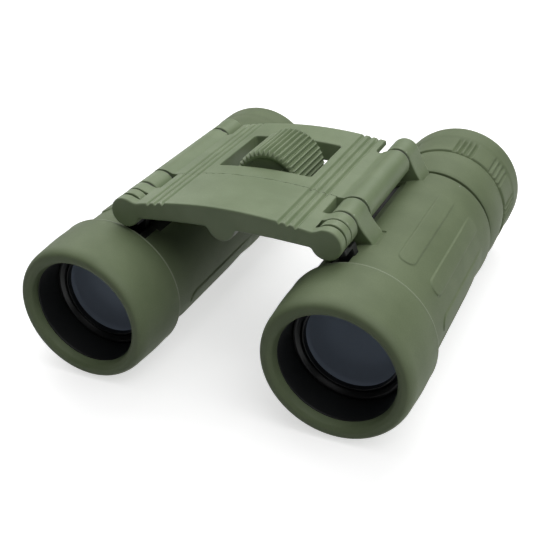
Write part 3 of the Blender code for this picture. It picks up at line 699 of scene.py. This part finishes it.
def pads(s, y):
    """How far the armour's raised pads have risen, from 0 to 1."""
    count, first, pitch = 8, 63.4, 31.45
    half_width, corner, bank_width = 2.02, 1.9, 0.35
    start, end, run_out = 24.0, 57.5, 9.0
    rise = 0.0
    for pad in range(count):
        from_middle = nearest_turn(s - around(first - pitch * pad))
        edge = both(np.abs(from_middle) - half_width, slab(y, start, end), corner)
        bank = np.clip(0.5 - edge / bank_width, 0, 1)
        fade = np.clip((end - y) / run_out, 0, 1) ** 0.5
        rise = np.maximum(rise, bank * bank * (3 - 2 * bank) * fade)
    return rise


def armour_outer(s, y):
    """Outer radius of the armour: pads, a flare towards the eyepiece and a tapered end."""
    flare_start, flare_length, taper_length, taper_depth = 55.0, 8.0, 1.2, 0.4
    flare = np.clip((y - flare_start) / flare_length, 0, 1)
    taper = np.clip((y - ARMOUR_END + taper_length) / taper_length, 0, 1)
    raised = np.maximum(PAD_HEIGHT * pads(s, y), FLARE * flare**2 * (3 - 2 * flare))
    return ARMOUR_RADIUS + raised - taper_depth * taper**2


def armour_solid(s, r, y):
    """Sleeve with the arm's opening, a stepped slot under the hinge and recesses at the lugs' feet."""
    start, edge, slot_edge, foot_corner, foot_edge = 15.3, 0.25, 0.08, 0.3, 0.1
    opening_middle, opening_half, opening_end, opening_edge = math.radians(113), 3.0, 22.6, 0.15
    slot_steps, slot_stations = ((119.5, 8.0, 14.0), (111.5, 6.0, 15.3)), (22.0, 60.0)
    foot_middle, foot_half, foot_floor, before, behind = 101, 11, 15.3, 0.1, 0.4
    ring = both(both(r - armour_outer(s, y), ARMOUR_INNER - r, 0.1), slab(y, start, ARMOUR_END), edge)
    ring = without(ring, opening(s, y, opening_middle, opening_half, opening_end), opening_edge)
    for middle, half_width, floor in slot_steps:
        beside = np.abs(nearest_turn(s - around(middle))) - around(half_width)
        ring = without(ring, both(both(beside, slab(y, *slot_stations)), floor - r), slot_edge)
    for stations, sweep in ((FRONT_LUG, FRONT_SWEEP), (REAR_LUG, REAR_SWEEP)):
        beside = np.abs(nearest_turn(s - around(foot_middle))) - around(foot_half)
        along = slab(y, stations[0] + sweep - before, stations[1] + sweep + behind)
        ring = without(ring, both(both(beside, along, foot_corner), foot_floor - r), foot_edge)
    return ring


def tube_solid(s, r, y):
    """Barrel tube with a slot for the focusing arm."""
    start, edge, slot_start, slot_end, slot_half, slot_corner = 2.6, 0.1, 16.2, 23.3, 2.5, 0.2
    ring = both(slab(r, TUBE_INNER, TUBE_OUTER), slab(y, start, ARMOUR_END), edge)
    slot = both(opening(s, y, HINGE_ANGLE, slot_half, slot_end), slot_start - y, slot_corner)
    return without(ring, slot, edge)


def sleeves(side_name, side):
    body = side_name + "_barrel"
    full = ARMOUR_RADIUS * math.tau
    armour_steps, tube_steps = 330, 150
    turn = np.arange(0, full - 0.1, full / armour_steps)
    radius = np.concatenate([np.arange(14.85, 15.5, 0.13), np.arange(15.55, 16.25, 0.09)])
    along = graded(14.8, 66.2, (15.3, 22.6, 24.0, 31.8, 60.5, 65.0), fine=0.12, coarse=0.45)
    points, faces = surface(armour_solid, (turn, radius, along), full)
    add_piece(side_name + "_armour_sleeve", (polar_points(points), faces), OLIVE_RUBBER, body,
              side_name + "_armour", side=side)
    turn = np.arange(0, full - 0.1, full / tube_steps)
    radius = np.arange(12.7, 15.4, 0.22)
    along = graded(2.1, 66.2, (2.6, 16.2, 23.3, 65.6), fine=0.2, coarse=1.5)
    points, faces = surface(tube_solid, (turn, radius, along), full)
    add_piece(side_name + "_tube_wall", (polar_points(points), faces), BLACK_PLASTIC, body,
              side_name + "_barrel_tube", side=side)


def sharp(points):
    """Corners without rounding."""
    return [(radius, station, 0) for radius, station in points]


def hood_outline():
    """Straight skirt over the armour, and a thick lip rolled over in front of the tube."""
    lip_radius, lip_depth, floor = 13.0, 3.2, 2.3
    corners = [(HOOD_RADIUS, HOOD_END, 0.2), (HOOD_RADIUS, 9.0, 2.0)]
    corners += sharp(arc((HOOD_INNER, lip_depth), (1.5, -lip_depth), 0, 90, 10))
    corners += [(14.3, 0, 0.25), (13.4, 0.6, 0.3), (lip_radius, 1.8, 0.3), (lip_radius, floor, 0)]
    corners += [(HOOD_INNER, floor, 0), (HOOD_INNER, HOOD_END, 0)]
    return rounded(corners)


def lip_outline():
    """Thin moulded bead round the hood's back edge."""
    middle, thickness, inner = (16.9, 15.15), 0.28, 15.75
    bead = sharp(arc(middle, (thickness, thickness), -90, 90, 8))
    return rounded(bead + [(inner, 15.43, 0.1), (inner, 14.87, 0)])


def collar_outline():
    """Spigot in the barrel, a smooth bulging collar and a neck for the eyecup."""
    start, front, back, end = 60.5, 67.5, 80.3, 87.0
    neck, bore = 12.6, 10.6
    corners = [(neck, end, 0), (neck, back, 0), (15.5, back, 0.3)]
    corners += sharp(arc((0, 74.5), (16.15, 24.0), 13, -16.0, 14))
    corners += [(15.35, front, 0.15), (SPIGOT_RADIUS, front, 0), (SPIGOT_RADIUS, start, 0)]
    corners += [(bore, start, 0), (bore, end, 0)]
    return rounded(corners)


def eyecup_outline():
    """Sleeve that widens a little behind its ribs and ends in a rolled rim round the eye lens."""
    inner, ring_end = 14.9, 89.3
    corners = [(15.7, 80.05, 0.2), (16.2, 80.35, 0.15)]
    corners += [(16.25, station, 0) for station in np.linspace(80.9, 88.6, 18)]
    corners += [(EYECUP_RADIUS, 89.6, 0.4), (EYECUP_RADIUS, 93.6, 0)]
    corners += sharp(arc((13.3, 94.0), (3.2, 4.0), 0, 90, 14))
    corners += [(12.1, EYECUP_END, 0.3), (11.2, 96.0, 1.0), (11.0, ring_end, 0.2)]
    corners += [(inner, ring_end, 0), (inner, 80.0, 0)]
    return rounded(corners)


def eyecup_ribs(angle, station, radius):
    """Groups of four grooves round the cup's front half, open at its front edge."""
    groups, first, group_pitch, lines, line_pitch = 9, 74.9, 37.6, 4, 5.2
    half_width, depth, end, run_out, root = 0.55, 0.6, 88.8, 1.2, 15.9
    dip = 0.0
    for group in range(groups):
        for line in range(lines):
            middle = math.radians(first - group_pitch * group + line_pitch * (line - (lines - 1) / 2))
            away = (angle - middle + math.pi) % math.tau - math.pi
            groove = np.clip(1 - np.abs(away) * ARMOUR_RADIUS / half_width, 0, 1)
            dip = np.maximum(dip, groove**0.7)
    length = np.clip((end - station) / run_out, 0, 1)
    return -depth * dip * length * (radius > root)


def lens_outline(stations, radius, front_sag, back_sag, steps=10):
    """Two shallow domes joined by a cylindrical rim."""
    front, back = stations
    shares = np.linspace(0, 1, steps + 1)
    face = [(radius * t, front + front_sag * t * t) for t in shares]
    rear = [(radius * t, back - back_sag * t * t) for t in reversed(shares)]
    return face + rear


def ring_outline(outer, inner, start, end, rounding=0.12):
    corners = [(outer, start), (outer, end), (inner, end), (inner, start)]
    return rounded([(*corner, rounding) for corner in corners], 3)


def hood(side_name, side):
    """Rubber hood and the bead at its back edge."""
    axis, body = (SPREAD, 0), side_name + "_barrel"
    add_piece(side_name + "_hood", turned(hood_outline(), axis, SMOOTH_TURN), OLIVE_RUBBER, body,
              side_name + "_objective_hood", side=side)
    add_piece(side_name + "_hood_lip", turned(lip_outline(), axis, SMOOTH_TURN), PALE_RUBBER, body,
              side_name + "_objective_hood", side=side)


def objective(side_name, side):
    """Sliding cell with its coated lens and retaining ring."""
    body = side_name + "_objective"
    axis = (SPREAD, 0)
    front, back, bore, seat = 9.5, 24.0, 11.3, 10.2
    seat_start, seat_end = 15.1, 17.0
    cell = rounded([
        (SPIGOT_RADIUS, back, 0), (SPIGOT_RADIUS, front, 0.15), (12.1, front, 0.15), (11.6, 10.0, 0.1),
        (bore, 10.3, 0), (bore, seat_start, 0), (seat, seat_start, 0), (seat, seat_end, 0),
        (bore, seat_end, 0), (bore, back, 0),
    ])
    add_piece(side_name + "_cell", turned(cell, axis), BLACK_ANODISED, body,
              side_name + "_objective_cell", side=side)
    lens_radius, ring_front, ring_back = 11.0, 10.3, 11.4
    lens = turned(lens_outline(span("left_objective_lens"), lens_radius, 1.3, 0.3), axis)
    add_piece(side_name + "_front_lens", lens, LENS_GLASS, body, side_name + "_objective_lens", side=side)
    ring = rounded([(lens_radius, ring_back, 0), (lens_radius, ring_front, 0.1),
                    (10.65, ring_front, 0.1), (10.45, ring_back, 0)])
    add_piece(side_name + "_retaining_ring", turned(ring, axis), BLACK_ANODISED, body,
              side_name + "_lens_ring", side=side)


def arm_ring_solid(x, y, z):
    """Eye of the focusing arm, on the hinge rod."""
    stations, edge, rim = (17.05, 19.35), 0.15, 0.1
    out, up = x - HINGE_X, z - HINGE_Z
    ring = both(circle(out, up, LUG_RADIUS), slab(y, *stations), edge)
    return without(ring, circle(out, up, ROD_ROOM), rim)


def arm_leg_solid(x, y, z):
    """Shelf behind the eye and the leg that reaches into the barrel."""
    half_width, front, strap_end, leg_front, back = 2.0, 17.1, 19.3, 20.8, 22.8
    strap_top, shelf_top, shelf_floor, leg_top, foot_radius = -3.0, -3.6, -4.25, -3.7, 11.7
    bend, edge, overlap = 0.3, 0.15, 0.05
    out = (x - HINGE_X) * math.cos(TOE) + (z - HINGE_Z) * math.sin(TOE)
    up = (z - HINGE_Z) * math.cos(TOE) - (x - HINGE_X) * math.sin(TOE)
    strap = both(slab(y, front, strap_end), slab(up, shelf_floor, strap_top))
    shelf = both(slab(y, front, back), slab(up, shelf_floor, shelf_top))
    leg = both(slab(y, leg_front, back), slab(up, foot_radius - HINGE_RISE, leg_top))
    bent = either(either(strap, shelf), leg, bend)
    bent = both(bent, np.abs(out) - half_width, edge)
    return without(bent, circle(out, up, LUG_RADIUS - overlap))


def focus_arm(side_name, side):
    body = side_name + "_objective"
    gap = 0.14
    across, height = np.arange(20.2, 28.1, gap), np.arange(16.7, 24.5, gap)
    ring = surface(arm_ring_solid, (across, np.arange(16.7, 19.8, 0.12), height))
    add_piece(side_name + "_arm_eye", ring, SAGE_PLASTIC, body, side_name + "_focus_arm", side=side)
    gap = 0.17
    across, height = np.arange(20.0, 30.6, gap), np.arange(9.5, 20.4, gap)
    leg = surface(arm_leg_solid, (across, np.arange(16.7, 23.3, gap), height))
    add_piece(side_name + "_arm_leg", leg, BLACK_PLASTIC, body, side_name + "_focus_arm", side=side)


def eyepiece(side_name, side):
    """Collar, eyecup and the lenses behind it. Only the left one is ribbed, because it turns."""
    barrel = side_name + "_barrel"
    lens_body, cup_body, segments, ribs = barrel, barrel, SMOOTH_TURN, None
    if side > 0:
        lens_body, cup_body, segments, ribs = "left_ocular", "dioptre_ring", RIBBED_TURN, eyecup_ribs
    axis = (SPREAD, 0)
    outer, bore, stop = 10.3, 9.3, 8.2
    front, stop_end, back = 68.5, 69.5, 91.0
    lens_radius, spacer_bore, keeper_bore = 9.0, 8.2, 8.0
    add_piece(side_name + "_collar", turned(collar_outline(), axis, SMOOTH_TURN), OLIVE_RUBBER, barrel,
              side_name + "_eyepiece_housing", side=side)
    add_piece(side_name + "_rubber_eyecup", turned(eyecup_outline(), axis, segments, ribs),
              OLIVE_RUBBER, cup_body, side_name + "_eyecup", side=side)
    cell = rounded([
        (outer, front, 0.1), (outer, back, 0.2), (bore, back, 0.2), (bore, stop_end, 0),
        (stop, stop_end, 0), (stop, front, 0.1),
    ])
    add_piece(side_name + "_lens_tube", turned(cell, axis), BLACK_PLASTIC, lens_body,
              side_name + "_ocular_cell", side=side)
    field = lens_outline(span("left_field_lens"), lens_radius, 0.3, 1.6)
    add_piece(side_name + "_inner_lens", turned(field, axis), LENS_GLASS, lens_body,
              side_name + "_field_lens", side=side)
    eye = lens_outline(span("left_eye_lens"), lens_radius, 1.4, 0.5)
    add_piece(side_name + "_rear_lens", turned(eye, axis), LENS_GLASS, lens_body,
              side_name + "_eye_lens", side=side)
    spacer = ring_outline(lens_radius, spacer_bore, *span("left_lens_spacer"))
    add_piece(side_name + "_spacer", turned(spacer, axis), BLACK_ANODISED, lens_body,
              side_name + "_lens_spacer", side=side)
    start, end = span("left_eye_lens_ring")
    keeper = rounded([(lens_radius, start, 0), (lens_radius, end, 0.15), (8.5, end, 0.15),
                      (keeper_bore, start + 0.4, 0.1), (keeper_bore, start, 0)])
    add_piece(side_name + "_keeper_ring", turned(keeper, axis), BLACK_ANODISED, lens_body,
              side_name + "_eye_lens_ring", side=side)


def index_dot():
    """Small pale dot on the left armour, where the dioptre setting is read."""
    angle, station, rise, segments = math.radians(60.5), 63.9, 0.34, 24
    size, height, root = 0.2, 0.07, -0.2
    dome = arc((0, 0), (size, height), 0, 90, 4) + arc((0, root), (size, 0.0), 90, 0, 1)
    points, faces = turned(dome, (0, 0), segments)
    out = Vector((math.cos(angle), 0, math.sin(angle)))
    turn = Vector((0, 1, 0)).rotation_difference(out).to_matrix()
    middle = Vector((SPREAD, station, 0)) + out * (ARMOUR_RADIUS + rise)
    points = points @ np.array(turn).T + np.array(middle)
    add_piece("dioptre_index", (points, faces), INDEX_PAINT, "left_barrel")


def barrels():
    for side_name, side in SIDES:
        lugs(side_name, side)
        gap_shade_discs(side_name, side)
        sleeves(side_name, side)
        hood(side_name, side)
        objective(side_name, side)
        focus_arm(side_name, side)
        eyepiece(side_name, side)
    index_dot()


# What stays from the CAD model


def finish_hidden_nodes():
    kinds = {
        "prism_cage": BLACK_PLASTIC, "prism": PRISM_GLASS, "field_stop": BLACK_ANODISED,
        "dioptre_ring": BLACK_PLASTIC, "eyecup_ring": BLACK_PLASTIC, "washer": BLACK_PLASTIC,
        "hinge_rod": STEEL, "focus_screw": STEEL, "screw_clip": STEEL, "focus_nut": BRASS,
    }
    for name, node in frame["nodes"].items():
        if node.hide_render:
            continue
        look = next(kind for word, kind in kinds.items() if word in name)
        node.data.materials.clear()
        node.data.materials.append(look[0])


# Studio: where each softbox stands, in degrees round the object and above the floor, and its watts
SOFTBOXES = (
    ("front", -45, 55, 1.5), ("right_high", 0, 55, 1.2), ("right_low", 0, 25, 1.1),
    ("back_high", 85, 55, 1.7), ("back_low", 90, 25, 0.6), ("left_high", 140, 55, 1.5),
    ("left_low", 145, 25, 1.3), ("above", 0, 90, 1.0),
)


def floor_material():
    """Pale and a little luminous, so that the shadow on it stays faint."""
    glow = 0.62
    material = bpy.data.materials.new("pale_floor")
    material.use_nodes = True
    shader = material.node_tree.nodes["Principled BSDF"]
    shader.inputs["Base Color"].default_value = (0.8, 0.8, 0.8, 1.0)
    shader.inputs["Roughness"].default_value = 0.9
    shader.inputs["Emission Color"].default_value = (1.0, 1.0, 1.0, 1.0)
    shader.inputs["Emission Strength"].default_value = glow
    return material


def studio_floor():
    """Wide disc just below the object. It doesn't light the object from below."""
    radius, drop = 4.0, 0.2 * MM
    mesh = bpy.data.meshes.new("studio_floor")
    edited = bmesh.new()
    bmesh.ops.create_circle(edited, cap_ends=True, segments=96, radius=radius)
    edited.to_mesh(mesh)
    edited.free()
    floor = bpy.data.objects.new("studio_floor", mesh)
    floor.location.z = CAD_LOW.z - drop
    floor.visible_diffuse = False
    bpy.context.scene.collection.objects.link(floor)
    mesh.materials.append(floor_material())


def softbox(name, azimuth, elevation, power):
    """Round lamp at an arm's length, aimed at the object."""
    distance, size = 0.9, 0.55
    turn, tilt = math.radians(azimuth), math.radians(elevation)
    aim = Vector((math.cos(turn) * math.cos(tilt), math.sin(turn) * math.cos(tilt), math.sin(tilt)))
    light = bpy.data.lights.new(name, "AREA")
    light.shape = "DISK"
    light.size = size
    light.energy = power
    lamp = bpy.data.objects.new(name, light)
    lamp.location = aim * distance + Vector((0, 0, AXIS_HEIGHT * MM))
    lamp.rotation_euler = aim.to_track_quat("Z", "Y").to_euler()
    bpy.context.scene.collection.objects.link(lamp)


def studio_light():
    """Softboxes all round, and a pale background that gives hardly any light itself."""
    seen_strength, lighting_strength = 1.0, 0.02
    world = bpy.data.worlds.new("studio")
    world.use_nodes = True
    tree = world.node_tree
    seen = add_node(tree, "LightPath").outputs["Is Camera Ray"]
    sky = tree.nodes["Background"]
    sky.inputs["Color"].default_value = (1.0, 1.0, 1.0, 1.0)
    strength = scaled(tree, seen, 0.0, 1.0, lighting_strength, seen_strength)
    tree.links.new(strength, sky.inputs["Strength"])
    bpy.context.scene.world = world
    for name, azimuth, elevation, power in SOFTBOXES:
        softbox("softbox_" + name, azimuth, elevation, power)
    bpy.context.scene.view_settings.view_transform = "Standard"


def studio_camera():
    data = bpy.data.cameras.new("camera")
    data.sensor_width = 36.0
    data.lens = 57.5
    camera = bpy.data.objects.new("camera", data)
    place = Vector((0.0852, -0.1778, 0.1216))
    target = Vector((-0.0013, -0.0084, 0.0114))
    roll = math.radians(-3.85)
    back = (place - target).to_track_quat("Z", "Y").to_matrix().to_4x4()
    camera.matrix_world = Matrix.Translation(place) @ back @ Matrix.Rotation(roll, 4, "Z")
    bpy.context.scene.collection.objects.link(camera)
    bpy.context.scene.camera = camera


bridge_pieces()
focus_wheel()
barrels()
finish_hidden_nodes()
studio_floor()
studio_light()
studio_camera()
